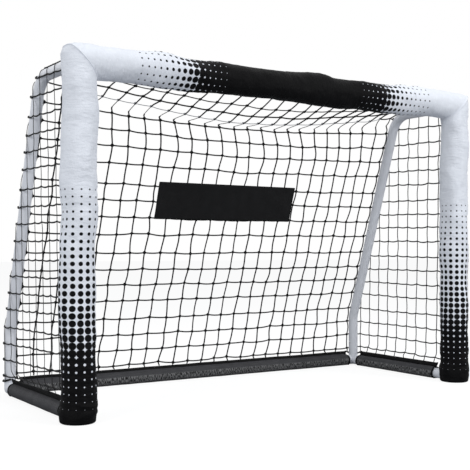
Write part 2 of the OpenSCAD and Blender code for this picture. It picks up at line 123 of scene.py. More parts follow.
def grid_object(name, points, uv, closed=False, uv_name="print", flip=False):
    """A surface over a grid of points. Where it closes, uv has one more column."""
    rows, cols = points.shape[:2]
    faces, places = grid_faces(rows, cols, closed)
    if flip:
        faces, places = faces[:, ::-1], places[:, ::-1]
    uvs = uv[places[:, :, 0], places[:, :, 1]]
    return mesh_object(name, points.reshape(-1, 3), faces, uvs.reshape(-1, 2), uv_name)


def spline(knots, steps):
    """Points on a smooth curve through the knots, steps from one knot to the next."""
    knots = np.asarray(knots, float)
    ends = [2 * knots[0] - knots[1], *knots, 2 * knots[-1] - knots[-2]]
    points = []
    for before, a, b, after in zip(ends, ends[1:], ends[2:], ends[3:]):
        for t in np.arange(steps) / steps:
            square = t * t * (before - 2.5 * a + 2 * b - 0.5 * after)
            cube = t ** 3 * (1.5 * (a - b) + 0.5 * (after - before))
            points.append(a + 0.5 * t * (b - before) + square + cube)
    return np.array([*points, knots[-1]])


def circle(radius, count=60):
    """Cosines and sines round a circle, times its radius."""
    turn = np.linspace(0, 2 * pi, count, endpoint=False)
    return radius * np.cos(turn), radius * np.sin(turn)


def join(*parts):
    """Points from their coordinates, each an array or one number for all."""
    return np.stack(np.broadcast_arrays(*parts), -1)


def unit(v):
    """Vectors brought to length 1."""
    return v / np.maximum(np.linalg.norm(v, axis=-1, keepdims=True), 1e-12)


def share_of(x, whole):
    """x as a share of the whole, at least 0 and at most 1."""
    return min(1.0, max(0.0, x / whole))


def hump(x, middle, width):
    """1 at the middle, falling smoothly to 0 some two widths away."""
    return np.exp(-(((x - middle) / width) ** 2))


def thicken(made, thickness, offset=-1):
    """Gives a sheet its thickness: inwards, or with offset 0 to both sides."""
    skin = made.modifiers.new("thickness", "SOLIDIFY")
    skin.thickness, skin.offset = thickness, offset


def declare(piece, node=None):
    """Hides the CAD node that a piece stands for, if one is given, and fixes the piece to the frame."""
    if node:
        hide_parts(node)
    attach(piece, "frame")


class Tubes:
    """Many round cords gathered in one mesh."""

    def __init__(self, sides=6):
        self.sides = sides
        self.points, self.faces, self.uvs, self.count = [], [], [], 0

    def add(self, line, radius, closed=False, twist=0.012):
        """A tube along the line. Its UVs run along the cord in turns of its strands, and round it."""
        line = np.asarray(line, float)
        if closed:
            tangents = unit(np.roll(line, -1, 0) - np.roll(line, 1, 0))
        else:
            tangents = unit(np.gradient(line, axis=0))
        side = np.cross(tangents[0], [0.31, 0.52, 0.8])  # any direction that no cord starts in
        cosines, sines = circle(radius, self.sides)
        rings = []
        for place, tangent in zip(line, tangents):
            side = unit(side - tangent * (side @ tangent))
            other = np.cross(tangent, side)
            rings.append(place + np.outer(cosines, side) + np.outer(sines, other))
        along = np.concatenate([[0], np.cumsum(np.linalg.norm(np.diff(line, axis=0), axis=1))]) / twist
        rings = np.array(rings)
        if closed:
            rings, along = np.concatenate([rings, rings[:1]]), np.append(along, along[-1])
        faces, places = grid_faces(len(rings), self.sides, True, self.count)
        self.points.append(rings.reshape(-1, 3))
        self.faces.extend(faces.tolist())
        uvs = join(along[places[:, :, 0]], places[:, :, 1] / self.sides)
        self.uvs.append(uvs.reshape(-1, 2))
        if not closed:
            last = self.count + (len(rings) - 1) * self.sides
            self.faces.append([self.count + k for k in reversed(range(self.sides))])
            self.faces.append([last + k for k in range(self.sides)])
            self.uvs.append(np.zeros((2 * self.sides, 2)))
        self.count += rings.shape[0] * self.sides

    def ring(self, line, radius):
        """A closed cord of sewn cloth."""
        self.add(line, radius, closed=True, twist=0.02)

    def build(self, name, material, uv_name="strand"):
        uvs = np.concatenate(self.uvs)
        made = mesh_object(name, np.concatenate(self.points), self.faces, uvs, uv_name)
        made.data.materials.append(material)
        return made


# ---- Helpers for materials ----


class Nodes:
    """A node tree, with short calls for making its nodes."""

    def __init__(self, tree):
        self.tree = tree

    def feed(self, socket, value):
        if isinstance(value, bpy.types.NodeSocket):
            self.tree.links.new(value, socket)
        else:
            socket.default_value = value

    def node(self, kind, inputs=None, **settings):
        made = self.tree.nodes.new(kind)
        for key, value in settings.items():
            setattr(made, key, value)
        for key, value in (inputs or {}).items():
            self.feed(made.inputs[key], value)
        return made

    def math(self, operation, *values, clamp=False):
        made = self.node("ShaderNodeMath", dict(enumerate(values)), operation=operation, use_clamp=clamp)
        return made.outputs[0]

    def add(self, a, b):
        return self.math("ADD", a, b)

    def minus(self, a, b):
        return self.math("SUBTRACT", a, b)

    def times(self, a, b):
        return self.math("MULTIPLY", a, b)


class Surface(Nodes):
    """A material being made."""

    def __init__(self, name, colour, roughness, **sockets):
        self.material = bpy.data.materials.new(name)
        self.material.use_nodes = True
        super().__init__(self.material.node_tree)
        self.shader = self.tree.nodes["Principled BSDF"]
        sockets = {"Base Color": (*colour, 1), "Roughness": roughness, **sockets}
        for socket, value in sockets.items():
            self.shader.inputs[socket.replace("_", " ")].default_value = value

    def uv(self, name):
        split = self.node("ShaderNodeSeparateXYZ", {0: self.node("ShaderNodeUVMap", uv_map=name).outputs[0]})
        return split.outputs[0], split.outputs[1]

    def noise(self, scale, detail=2.0, stretch=(1, 1, 1), place=None):
        """Noise from 0 to 1 over the piece's own metres, or over the place that is given."""
        if place is None:
            place = self.node("ShaderNodeTexCoord").outputs["Object"]
        moved = self.node("ShaderNodeMapping", {"Vector": place, "Scale": stretch}).outputs[0]
        made = self.node("ShaderNodeTexNoise", {"Vector": moved, "Scale": scale, "Detail": detail})
        return made.outputs[0]

    def ramp(self, value, low, high, start=0.0, end=1.0):
        """A number that goes evenly from low to high while value goes from start to end."""
        inputs = {0: value, 1: start, 2: end, 3: low, 4: high}
        return self.node("ShaderNodeMapRange", inputs).outputs[0]

    def mix(self, share, a, b):
        """Colour a where share is 0 and colour b where it's 1."""
        return self.node("ShaderNodeMix", {0: share, 6: a, 7: b}, data_type="RGBA").outputs[2]

    def shade(self, colour, amount):
        """A colour made lighter or darker by a number round 1."""
        inputs = {0: colour, "Scale": amount}
        return self.node("ShaderNodeVectorMath", inputs, operation="SCALE").outputs[0]

    def colour(self, value):
        self.feed(self.shader.inputs["Base Color"], value)

    def roughness(self, value):
        self.feed(self.shader.inputs["Roughness"], value)

    def bump(self, *layers):
        """Height layers, each a value, its strength and its depth in metres."""
        normal = None
        for height, strength, depth in layers:
            made = self.node("ShaderNodeBump", {"Height": height, "Strength": strength, "Distance": depth})
            if normal is not None:
                self.feed(made.inputs["Normal"], normal)
            normal = made.outputs[0]
        self.feed(self.shader.inputs["Normal"], normal)


# ---- Materials ----

BLACK = (0.0045, 0.0045, 0.0048)
PAPER_WHITE = (0.80, 0.83, 0.89)
COAT_WHITE = (0.80, 0.82, 0.87)
FOAM_GREY = (0.62, 0.63, 0.65)
INK_EDGE = 0.05  # width of a printed dot's soft edge, in dots
MERGE_GROWTH = 0.012  # how much the dots' radius grows with each row after they touch


def weave_height(s, u, v, threads):
    """Crossing threads: u and v are in the weave's own units, threads to a unit."""
    warp = s.math("SINE", s.times(u, threads * 2 * pi))
    weft = s.math("SINE", s.times(v, threads * 2 * pi))
    return s.times(warp, weft)


def printed_fabric(name, rows, first, growth, merged, white_from, white_rows, white_r, aspect):
    """White cloth with a halftone: black dots that grow row by row and merge, then shrinking white dots.
    Radii are in dots, and the print's UVs count dots round the sleeve and rows along it."""
    s = Surface(name, PAPER_WHITE, 0.62, Sheen_Weight=0.006, Sheen_Roughness=0.4, Specular_IOR_Level=0.04)
    u, v = s.uv("print")

    def distance(shift):
        """How far a place is from the middle of its dot, in dots."""
        across = s.times(s.minus(s.math("FRACT", s.add(u, shift)), 0.5), aspect)
        along = s.minus(s.math("FRACT", s.add(v, shift)), 0.5)
        return s.math("SQRT", s.add(s.times(across, across), s.times(along, along)))

    def inside(radius, away):
        """1 inside the radius and 0 outside, over a soft edge as ink has on cloth."""
        return s.math("ADD", s.math("DIVIDE", s.minus(radius, away), INK_EDGE), 0.5, clamp=True)

    row = s.math("FLOOR", v)
    grown = s.math("POWER", s.math("MAXIMUM", s.math("DIVIDE", row, rows - 1), 0.0), growth)
    radius = s.add(s.times(grown, 0.5 - first), first)
    radius = s.times(radius, s.math("GREATER_THAN", v, 0.0))
    beyond = s.math("MAXIMUM", s.minus(row, rows - 1.0), 0.0)
    radius = s.add(radius, s.times(beyond, MERGE_GROWTH))
    radius = s.add(radius, s.math("GREATER_THAN", v, float(rows + merged)))
    black = inside(radius, distance(0.0))

    white_row = s.minus(s.math("FLOOR", s.add(v, 0.5)), float(rows))
    shrunk = s.ramp(white_row, *white_r, white_from, white_from + white_rows - 1)
    shown = s.times(s.math("GREATER_THAN", white_row, white_from - 0.5),
                    s.math("LESS_THAN", white_row, white_from + white_rows - 0.5))
    white = s.times(inside(shrunk, distance(0.5)), shown)
    ink = s.times(black, s.minus(1.0, white))

    mottle = s.ramp(s.noise(9.0, 4.0), 0.955, 1.035)
    grain = s.ramp(s.noise(620.0, 1.0, (1, 1, 2.4)), 0.93, 1.07)
    cloth = s.shade(PAPER_WHITE, s.times(mottle, grain))
    dye = s.shade(BLACK, s.ramp(s.noise(300.0, 2.0), 0.4, 1.9))
    s.colour(s.mix(ink, cloth, dye))
    s.roughness(s.ramp(ink, 0.66, 0.52))
    unrolled = s.node("ShaderNodeCombineXYZ", {0: s.times(u, 0.30), 1: v}).outputs[0]
    s.bump((s.noise(26.0, 4.0), 0.8, 0.0060),
           (s.noise(3.4, 2.0, place=unrolled), 0.9, 0.0024),
           (weave_height(s, u, v, 18.0), 0.35, 0.0002),
           (s.noise(900.0, 1.0), 0.25, 0.0002))
    return s.material


def plain_white_cloth(name):
    s = Surface(name, PAPER_WHITE, 0.6, Sheen_Weight=0.03, Sheen_Roughness=0.5, Specular_IOR_Level=0.12)
    s.colour(s.shade(PAPER_WHITE, s.ramp(s.noise(500.0), 0.92, 1.05)))
    s.bump((s.noise(800.0), 0.3, 0.0003))
    return s.material


def black_cloth(name, colour):
    """Woven black polyester. Its UVs are metres along the sleeve and round it."""
    s = Surface(name, colour, 0.6, Sheen_Weight=0.012, Sheen_Roughness=0.45, Specular_IOR_Level=0.08)
    u, v = s.uv("cloth")
    soft = s.ramp(s.noise(26.0, 3.0), 0.75, 1.3)
    fine = s.ramp(s.noise(700.0, 1.0), 0.8, 1.25)
    s.colour(s.shade(colour, s.times(soft, fine)))
    s.roughness(s.ramp(s.noise(40.0, 2.0), 0.5, 0.7))
    s.bump((s.noise(55.0, 3.0), 0.4, 0.0016), (weave_height(s, u, v, 900.0), 0.4, 0.0002))
    return s.material


def pile_cloth(name, colour):
    """The brushed band on the sleeves: short pile in light and dark streaks."""
    s = Surface(name, colour, 0.8, Sheen_Weight=0.08, Sheen_Roughness=0.4, Specular_IOR_Level=0.15)
    u, v = s.uv("cloth")
    flat = s.node("ShaderNodeCombineXYZ", {0: u, 1: v}).outputs[0]
    streak = s.noise(330.0, 1.0, (1, 0.25, 1), flat)
    patch = s.ramp(s.noise(38.0, 3.0, place=flat), 0.85, 1.2)
    light = s.ramp(streak, 0.10, 3.1, 0.40, 0.64)
    s.colour(s.shade(colour, s.times(light, patch)))
    s.bump((streak, 0.8, 0.0012), (s.noise(1400.0, 1.0, place=flat), 0.4, 0.0003))
    return s.material


def twisted_cord(name, colour, strands=3.0):
    """Twisted twine, with painted shade in the grooves between its plies and a painted highlight on their
    crests. Its UVs are turns along the cord and the share of the way round it.
    """
    s = Surface(name, colour, 0.55, Specular_IOR_Level=0.15)
    u, v = s.uv("strand")
    turn = s.times(s.add(u, v), strands * 2 * pi)
    ply_height_and_shade = s.math("ABSOLUTE", s.math("SINE", s.times(turn, 0.5)))
    # painted shade and highlight: the colour is darker in the grooves between the plies and lighter on their
    # crests
    s.colour(s.shade(colour, s.ramp(ply_height_and_shade, 0.55, 1.25)))
    s.bump((ply_height_and_shade, 0.7, 0.0006))
    return s.material


def powder_coat(name):
    s = Surface(name, COAT_WHITE, 0.38, Specular_IOR_Level=0.5, Coat_Weight=0.1, Coat_Roughness=0.3)
    s.colour(s.shade(COAT_WHITE, s.ramp(s.noise(7.0, 3.0), 0.96, 1.03)))
    s.roughness(s.ramp(s.noise(60.0, 3.0), 0.32, 0.46))
    s.bump((s.noise(420.0, 2.0), 0.18, 0.0003))
    return s.material


def steel(name, colour, roughness):
    s = Surface(name, colour, roughness, Metallic=1.0)
    s.colour(s.shade(colour, s.ramp(s.noise(260.0, 3.0), 0.8, 1.1)))
    s.roughness(s.ramp(s.noise(900.0, 2.0), roughness - 0.08, roughness + 0.1))
    return s.material


def foam(name):
    s = Surface(name, FOAM_GREY, 0.9)
    s.colour(s.shade(FOAM_GREY, s.ramp(s.noise(480.0, 3.0), 0.8, 1.1)))
    s.bump((s.noise(700.0, 2.0), 0.6, 0.0006))
    return s.material


POST_PRINT = printed_fabric("post_print", rows=21, first=0.12, growth=1.0, merged=3, white_from=3,
                            white_rows=7, white_r=(0.17, 0.03), aspect=1.06)
BAR_PRINT = printed_fabric("crossbar_print", rows=10, first=0.13, growth=2.2, merged=1, white_from=1,
                           white_rows=5, white_r=(0.125, 0.05), aspect=1.07)
PIPING = plain_white_cloth("piping_cloth")
SLEEVE_CLOTH = black_cloth("ground_sleeve_cloth", (0.056, 0.056, 0.060))
HEM_CLOTH = black_cloth("hem_cloth", BLACK)
PILE_CLOTH = pile_cloth("pile_band", (0.065, 0.065, 0.066))
BANNER_CLOTH = black_cloth("banner_cloth", (0.011, 0.011, 0.0115))
NET_CORD = twisted_cord("net_twine", (0.008, 0.008, 0.0085))
LIGHT_CORD = twisted_cord("light_twine", (0.42, 0.43, 0.45))
POWDER_COAT = powder_coat("white_powder_coat")
FOAM = foam("closed_cell_foam")
SPRING_STEEL = steel("spring_steel", (0.50, 0.51, 0.53), 0.38)
BUTTON_STEEL = steel("zinc_plated_steel", (0.66, 0.67, 0.69), 0.3)


# ---- Padded posts and crossbar ----

AROUND = np.linspace(-pi, pi, 121)  # angles round a sleeve from its seam at the back; 0 faces the front
SLEEVE_T = 0.0012
CORNER_START, CORNER_END = 0.048, 0.0675  # the mitred tip's reach: from where it's drawn in, and at most
FOOT_EDGE = 0.007  # radius of the closed foot's lower edge
FOOT = [(0.0, 0.0), (0.25, 0.0), (0.5, 0.0005), (0.72, 0.0004)]  # its sole: share of the radius, and height
FOOT_BULGE, FOOT_BULGE_Z, FOOT_BULGE_SPAN = 0.0040, 0.036, 0.030  # most at Z, fading over the span
FOOT_FOLDS, FOOT_FOLDS_Z, FOOT_FOLDS_SPAN = 0.0034, 0.050, 0.030
FOOT_FADE, MITRE_FADE = 0.02, 0.035  # the folds fade out over these lengths at both ends
FINE_TOP = 0.12  # below this height a post sleeve's rows stand closer
ROWS_TOP = 1.0  # height of its last row before the rows are bent up to the mitre
POST_LUMPS, POST_FOLDS = 0.0075, 0.0030
BAR_LUMPS, BAR_FOLDS, BAR_LUMPS_SPAN = 0.0050, 0.0024, 0.5
LUMP_SPAN, FOLD_SPAN, CREASE_SPAN, RIPPLE_SPAN = 0.11, 0.045, 0.015, 0.0058  # along the sleeve
FOAM_ROOM, SETTLE = 0.0055, 0.0008  # how far cloth may sink in before it lies on foam, and how softly
FOAM_R = PAD_R - FOAM_ROOM - 0.0020
FOAM_START = 0.014  # height of the post foam's lower end
FOAM_GAP = 0.002  # between the foam and the tube inside
SEAM_OUT, SEAM_R = 0.0002, 0.0026
COLLAR_OUT, COLLAR_R = 0.0012, 0.0014

# The crossbar's outermost dots: how far they are from its middle, and the step inwards
BAR_DOTS = {-1: (0.6470, 0.0228), 1: (0.6435, 0.0234)}


def puff(noise, around, along, lumps, folds):
    """How far cloth stands off its smooth round form: broad lumps, soft folds and fine creases."""
    x, y = np.cos(around), np.sin(around)
    broad = noise(x * 0.9 + 3, y * 0.9 + 5, along / LUMP_SPAN)
    middle = noise(x * 1.7 + 9, y * 1.7 + 2, along / FOLD_SPAN)
    crease = noise(x * 1.3 + 7, y * 1.3 + 1, along / CREASE_SPAN + 1.5 * middle)
    ripple = noise(x * 0.8 + 4, y * 0.8 + 6, along / RIPPLE_SPAN + 2.0 * middle) * (0.5 + broad)
    above = lumps * broad + folds * (middle + 0.45 * crease + 0.22 * ripple) + FOAM_ROOM
    return (above + np.sqrt(above ** 2 + SETTLE ** 2)) / 2 - FOAM_ROOM


def round_corner(points, side):
    """Draws in the tip of a mitred corner, as cloth sewn round it does."""
    over = ((points[..., 0] - side * POST_X) * side + points[..., 2] - BAR_Z) / sqrt(2)
    room = CORNER_END - CORNER_START
    excess = np.maximum(over - CORNER_START, 0)
    back = excess - room * (1 - np.exp(-excess / room))
    moved = points.copy()
    moved[..., 0] -= side * back / sqrt(2)
    moved[..., 2] -= back / sqrt(2)
    return moved


def round_both(points):
    """The same at both ends of the crossbar."""
    for side in SIDES:
        half = points[..., :1] * side > 0
        points = np.where(half, round_corner(points, side), points)
    return points


def dot_columns(first, pitch):
    """The angles round a sleeve as a count of dot columns, one of which is at first degrees."""
    return (AROUND - radians(first)) / radians(pitch) + 0.5


def dress_pad(made, material, thickness, node):
    made.data.materials.append(material)
    thicken(made, thickness)
    declare(made, node)


def post_sleeve(side, seed, first_dot, pitch, first_row, row_step):
    """One post's sleeve: a closed, slightly bulged foot, soft folds, and a mitred top.
    Its dots start at first_dot degrees from the front and first_row metres up."""
    noise = Noise(seed)
    turn = AROUND - pi / 2
    rows = [((PAD_R - FOOT_EDGE) * share, z) for share, z in FOOT]
    for a in np.radians(np.linspace(-90, 0, 8)):
        z = FOOT_EDGE * (1 + sin(a))
        bulge = FOOT_BULGE * hump(z, FOOT_BULGE_Z, FOOT_BULGE_SPAN)
        rows.append((PAD_R + bulge - FOOT_EDGE * (1 - cos(a)), z))
    top = BAR_Z + side * PAD_R * np.cos(turn)
    fine, coarse = np.linspace(FOOT_EDGE, FINE_TOP, 24), np.linspace(FINE_TOP, ROWS_TOP, 300)
    for z in np.concatenate([fine[1:], coarse[1:]]):
        bend = share_of(z - FINE_TOP, ROWS_TOP - FINE_TOP) ** 6
        height = z + bend * (top - ROWS_TOP)
        bulge = FOOT_BULGE * hump(z, FOOT_BULGE_Z, FOOT_BULGE_SPAN)
        fade = np.clip((top - height) / MITRE_FADE, 0, 1) * share_of(z - FOOT_EDGE, FOOT_FADE)
        slant = z / 0.011 + 0.9 * np.sin(AROUND + seed)
        gather = FOOT_FOLDS * hump(z, FOOT_FOLDS_Z, FOOT_FOLDS_SPAN)
        off = gather * noise(np.sin(AROUND), np.cos(AROUND), slant)
        radius = PAD_R + bulge + fade * (puff(noise, turn, height, POST_LUMPS, POST_FOLDS) + off)
        rows.append((radius, height))
    x, y = np.cos(turn), np.sin(turn)
    points = np.array([join(side * POST_X + r * x, FRONT_Y + r * y, z) for r, z in rows])
    columns = dot_columns(first_dot, pitch)
    uv = np.array([join(columns, (first_row - z) / row_step + 0.5) for _, z in rows])
    name = SIDES[side]
    made = grid_object(f"{name}_post_cover", round_corner(points, side)[:, :-1], uv, closed=True)
    dress_pad(made, POST_PRINT, SLEEVE_T, f"{name}_post_sleeve")


def crossbar_sleeve():
    """The crossbar's sleeve, printed towards both ends and lumpier in the middle."""
    noise = Noise(11)
    reach = POST_X + PAD_R * np.sin(AROUND)
    rows, uvs = [], []
    for t in np.linspace(-1, 1, 560):
        x = np.sign(t) * abs(t) ** 0.9 * reach
        fade = np.clip((reach - abs(x)) / MITRE_FADE, 0, 1)
        lumps = BAR_LUMPS * (1 + hump(x, 0, BAR_LUMPS_SPAN))
        radius = PAD_R + fade * puff(noise, AROUND, x, lumps, BAR_FOLDS)
        rows.append(join(x, FRONT_Y - radius * np.cos(AROUND), BAR_Z + radius * np.sin(AROUND)))
        first, step = BAR_DOTS[-1 if t < 0 else 1]
        uvs.append(join(dot_columns(-3.5, 26.6), (first - abs(x)) / step + 0.5))
    points = round_both(np.array(rows))
    made = grid_object("crossbar_cover", points[:, :-1], np.array(uvs), closed=True, flip=True)
    dress_pad(made, BAR_PRINT, SLEEVE_T, "crossbar_sleeve")


def foam_core(name, points, node, flip=False):
    rows, cols = points.shape[:2]
    made = grid_object(name, points, np.zeros((rows, cols + 1, 2)), closed=True, flip=flip)
    dress_pad(made, FOAM, FOAM_R - TUBE_R - FOAM_GAP, node)


def foam_cores():
    """The foam tubes inside the sleeves, mitred like them."""
    x, y = circle(FOAM_R)
    for side, name in SIDES.items():
        run = BAR_Z + side * x - FOAM_START
        rows = [join(side * POST_X + x, FRONT_Y + y, FOAM_START + t * run) for t in np.linspace(0, 1, 60)]
        foam_core(f"{name}_post_core", round_corner(np.array(rows), side), f"{name}_post_foam")
    rows = [join(t * (POST_X + y), FRONT_Y - x, BAR_Z + y) for t in np.linspace(-1, 1, 91)]
    foam_core("crossbar_core", round_both(np.array(rows)), "crossbar_foam", flip=True)


def seam_piping():
    """The sewn seam of each mitred corner, a fine cord of folded cloth."""
    seams = Tubes(sides=8)
    front, up = circle(PAD_R + SEAM_OUT, 120)
    for side in SIDES:
        line = join(side * (POST_X + up), FRONT_Y - front, BAR_Z + up)
        seams.ring(round_corner(line, side), SEAM_R)
    declare(seams.build("corner_seams", PIPING))


def tube_collars(name, height, material, mitred):
    """Bound edges where two tubes leave the sleeves, at this height."""
    rings = Tubes(sides=8)
    across, up = circle(TUBE_R + COLLAR_OUT)
    bend = np.maximum(up, across) if mitred else across
    back = FRONT_Y + np.sqrt(PAD_R ** 2 - bend ** 2) + 0.0006
    for side in SIDES:
        rings.ring(join(side * (POST_X + across), back, np.maximum(height + up, COLLAR_R)), COLLAR_R)
    declare(rings.build(name, material, "cloth"))


# ---- Ground sleeves ----

LOOP_R = TUBE_R + 0.0042
FLAP_ROOT, FLAP_LEAN = 0.001, 0.008  # how far a flap's root is outside the axis, and its top outside its root
HEM_OUT, HEM_IN = 0.020, 0.012  # how far the flap's hem comes down outside, and inside on the rear sleeve
FLAP_T, HEM_T, CLOTH_T = 0.0022, 0.0042, 0.0009  # thickness of the flap, of its hem and of one layer
NECK = radians(8)  # half the gap in the loop's top, where the flap stands
PILE_LOW, PILE_HIGH = -0.62, 0.5  # the pile band's edges on the loop's inside, in loop radii from its middle
PILE_T = 0.0007
END_BAND = 0.009  # the black border at a sleeve's ends
NOTCH, NOTCH_Z, NOTCH_SPAN = 0.009, 0.004, 0.006  # how far its end is drawn back just above the loop
BINDING_R = 0.0024
REAR_SPARE = 0.009  # how far the rear sleeve's soft ends reach past its solid
ROW_STEP = 0.006
SWAY, FINE_SWAY, DIP, RIPPLE = 0.0022, 0.0008, 0.0009, 0.0004  # how unevenly flap and loop lie
CLOTH, HEM, PILE = range(3)  # a ground sleeve's materials
SIDE_RISE = {-1: (0.005, -0.002), 1: (0, 0)}  # how much higher a flap's top stands at the front and the rear
REAR_RISE = (-0.004, -0.002)  # and the rear one's on the left and the right


def sleeve_profile(hem_in):
    """A ground sleeve's section, outwards and up from the tube's axis: points and their materials."""
    top = FLAP_TOP - FLOOR_Z

    def flap(height, thick):
        lean = FLAP_LEAN * share_of(height - LOOP_R, top - LOOP_R) + FLAP_ROOT
        return [(lean + thick / 2, height), (lean - thick / 2, height)]

    def face(hem, which):
        heights = (LOOP_R + 0.0008, top - hem - 0.001, top - hem, top - 0.002)
        return [flap(*step)[which] for step in zip(heights, (FLAP_T, FLAP_T, HEM_T, HEM_T))]

    outside = flap(top, HEM_T * 0.6)[::-1] + face(HEM_OUT, 0)[::-1]
    points = [(*p, HEM) for p in outside]
    for a in np.linspace(pi / 2 - NECK, NECK - 3 * pi / 2, 56):
        in_band = cos(a) < 0 and PILE_LOW < sin(a) < PILE_HIGH
        r = LOOP_R + PILE_T if in_band else LOOP_R
        points.append((r * cos(a), r * sin(a), PILE if in_band else CLOTH))
    return points + [(*p, HEM if k > 1 else CLOTH) for k, p in enumerate(face(hem_in, 1))]


def sleeve_grid(flat, start, end, outward, noise, rise):
    """The section drawn out along a sleeve, a little uneven: points, and UVs in metres."""
    way, length = unit(end - start), np.linalg.norm(end - start)
    round_m = np.concatenate([[0], np.cumsum(girth_steps(flat))])
    lifted = np.clip((flat[:, 1] - LOOP_R + 0.004) / (FLAP_TOP - FLOOR_Z - LOOP_R), 0, 1)
    radial = unit(flat) * (1 - lifted)[:, None]
    angle = np.arctan2(flat[:, 1], flat[:, 0])
    notch = NOTCH * hump(flat[:, 1], LOOP_R + NOTCH_Z, NOTCH_SPAN)
    inner = np.linspace(END_BAND, length - END_BAND, max(24, int(length / ROW_STEP)))
    rows, uvs = [], []
    for s in np.concatenate([[0, END_BAND / 2], inner, [length - END_BAND / 2, length]]):
        sway = SWAY * noise(s / 0.11, 3.3) + FINE_SWAY * noise(s / 0.035, 8.1)
        dip = DIP * noise(s / 0.09, 5.7) + rise[0] + (rise[1] - rise[0]) * s / length
        ripple = RIPPLE * noise(s / 0.05, angle * 1.5)
        section = flat + radial * ripple[:, None]
        section[:, 0] += sway * lifted
        section[:, 1] += dip * lifted
        section[:, 1] = np.maximum(section[:, 1], -FLOOR_Z + 0.0003)
        along = np.clip(s, notch, length - notch)
        row = start + np.outer(along, way) + np.outer(section[:, 0], outward)
        rows.append(row + np.outer(section[:, 1], UPWARDS))
        uvs.append(join(np.append(along, along[0]), round_m))
    return np.array(rows), np.array(uvs)


def girth_steps(flat):
    """Distances from point to point round a closed cross-section."""
    return np.linalg.norm(np.roll(flat, -1, 0) - flat, axis=1)


def ground_sleeve(name, start, end, outward, seed, rise, hem_in=HEM_OUT):
    """A loop of cloth round a ground tube, with its hemmed flap and bound ends."""
    profile = sleeve_profile(hem_in)
    flat = np.array([point[:2] for point in profile])
    bands = [point[2] for point in profile]
    start, end, outward = (np.asarray(v, float) for v in (start, end, outward))
    way, length = unit(end - start), float(np.linalg.norm(end - start))
    rows, uvs = sleeve_grid(flat, start, end, outward, Noise(seed), rise)
    flip = np.dot(np.cross(outward, UPWARDS), way) > 0
    made = grid_object(f"{name}_ground_cover", rows, uvs, closed=True, uv_name="cloth", flip=flip)
    for material in (SLEEVE_CLOTH, HEM_CLOTH, PILE_CLOTH):
        made.data.materials.append(material)
    index = np.tile(np.minimum(bands, np.roll(bands, -1)), (len(rows) - 1, 1))
    index[:2] = index[-2:] = HEM
    made.data.polygons.foreach_set("material_index", index.ravel().astype(np.int32))
    thicken(made, CLOTH_T)
    declare(made, f"{name}_ground_sleeve")
    bindings = Tubes(sides=8)
    for ring in (rows[0] + way * BINDING_R, rows[-1] - way * BINDING_R):
        ring[:, 2] = np.maximum(ring[:, 2], BINDING_R)
        bindings.ring(ring, BINDING_R)
    declare(bindings.build(f"{name}_ground_cover_bindings", HEM_CLOTH, "cloth"))


# ---- Nets ----

CORD_R = 0.0028
SIDE_CORD_R = {-1: 0.0012, 1: 0.0019}  # the side nets' columns
KNOT_R = 0.0023
SEAM_CORD_R = 0.0024
HEM_CORD_R = 0.0038
MESH = 0.068
COLUMNS = 12  # mesh columns on each side of the middle one
SAG, FIRST_SAG, SIDE_SAG = 0.0018, 0.001, 0.0036  # how far a cord hangs between two knots
STEPS = 6  # points along a cord from one knot to the next
WAVE, SIDE_WAVE = 0.0014, 0.0020  # how far columns bow to and fro between knots
JITTER, MOST_JITTER, SIDE_JITTER = (0.0022, 0.0018, 0.0018), 0.005, 0.0012  # how far knots are out of line
SELVEDGE = radians(20)  # where the nets meet on the side tubes, from their outermost line
NET_BOTTOM = FLAP_TOP - 0.002

ROOF_Y = FRONT_Y + ROOF_RUN
LEAN = atan((REAR_Y - ROOF_Y) / (BAR_Z - KNEE_Z))


def side_axis():
    """The side tube's axis from the post to the floor: points (y, z) and outward normals."""
    slack = BEND_R * tan((pi / 2 - LEAN) / 2)
    middle = np.array([ROOF_Y - slack, BAR_Z - BEND_R])
    knee = np.array([REAR_Y - BEND_R, KNEE_Z - BEND_R * tan(LEAN / 2)])

    def arc(centre, angles):
        outs = [np.array([cos(a), sin(a)]) for a in angles]
        return [(tuple(centre + BEND_R * out), tuple(out)) for out in outs]

    roof = [((y, BAR_Z), (0.0, 1.0)) for y in np.linspace(FRONT_Y, middle[0], 60, endpoint=False)]
    bend = arc(middle, np.linspace(pi / 2, LEAN, 60))
    down = arc(knee, np.linspace(LEAN, 0, 16))
    (y0, z0), (y1, z1) = bend[-1][0], down[0][0]
    slope = [((y0 + (y1 - y0) * t, z0 + (z1 - z0) * t), bend[-1][1]) for t in np.linspace(0, 1, 160)[1:-1]]
    upright = [((REAR_Y, z), (1.0, 0.0)) for z in np.linspace(down[-1][0][1], FLOOR_Z, 50)[1:]]
    places, normals = zip(*(roof + bend + slope + down + upright))
    return np.array(places), np.array(normals)


AXIS, NORMALS = side_axis()


def station(y, z):
    """The side tube's axis nearest to a point: the place, its normal, and how far outside it the point is."""
    k = int(np.argmin(np.hypot(AXIS[:, 0] - y, AXIS[:, 1] - z)))
    away = float(NORMALS[k] @ (np.array([y, z]) - AXIS[k]))
    return AXIS[k], NORMALS[k], away


def on_tube(side, y, z, turn, lift=CORD_R):
    """A point on the side tube's skin nearest to (y, z), turned from its outermost line to the outside."""
    place, normal, _ = station(y, z)
    reach = TUBE_R + lift
    out = normal * reach * cos(turn)
    return np.array([side * (POST_X + reach * sin(turn)), place[0] + out[0], place[1] + out[1]])


def mid_back(z):
    """How far back the net hangs at height z in the middle of the goal."""
    heights = [0.066, 0.084, 0.144, 0.343, 0.467, 0.866]
    places = [0.3485, 0.3525, 0.3275, 0.2725, 0.2275, 0.0985]
    return float(np.interp(z, heights, places))


def edge_back(z):
    """The same beside the side tubes."""
    place, _, _ = station(np.interp(z, AXIS[::-1, 1], AXIS[::-1, 0]), z)
    return place[0] + 0.6 * TUBE_R


